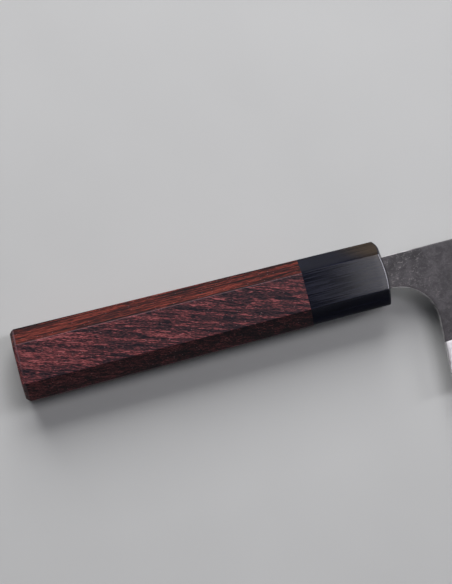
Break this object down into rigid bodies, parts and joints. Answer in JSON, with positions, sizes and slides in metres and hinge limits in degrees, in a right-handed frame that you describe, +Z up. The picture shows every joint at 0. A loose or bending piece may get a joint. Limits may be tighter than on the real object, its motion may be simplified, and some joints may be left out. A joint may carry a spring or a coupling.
{
  "type": "nakiri knife",
  "caption": "Double-bevelled vegetable knife with a straight laminated blade, dark forged sides, a polished bevel, an eight-sided rosewood stick handle and a horn ferrule.",
  "frame": {"origin": "bottom centre of the knife's bounding box as it lies on its left side, with its middle plane level", "axes": "+X towards the nose, +Y towards the spine, +Z up out of the blade's right face; the handle's axis runs along X at Y = 15.9 mm and Z = 10.6 mm, and the front end of the handle's taper is at X = -23.9 mm"},
  "size_m": [0.3078, 0.0572, 0.0212],
  "materials": {
    "core_steel": "polished hard steel",
    "cladding_iron": "dark forge scale on the sides, satin ground on the bevel",
    "horn": "polished black horn",
    "rosewood": "waxed dark rosewood with open pores",
    "dowel_wood": "plain turned hardwood",
    "bedding_epoxy": "cured black epoxy"
  },
  "bodies": {
    "root": {"core_steel": "core_steel", "cladding_right": "cladding_iron", "cladding_left": "cladding_iron", "ferrule": "horn", "handle_body": "rosewood", "dowel": "dowel_wood", "tang_bedding": "bedding_epoxy"}
  },
  "joints": []
}
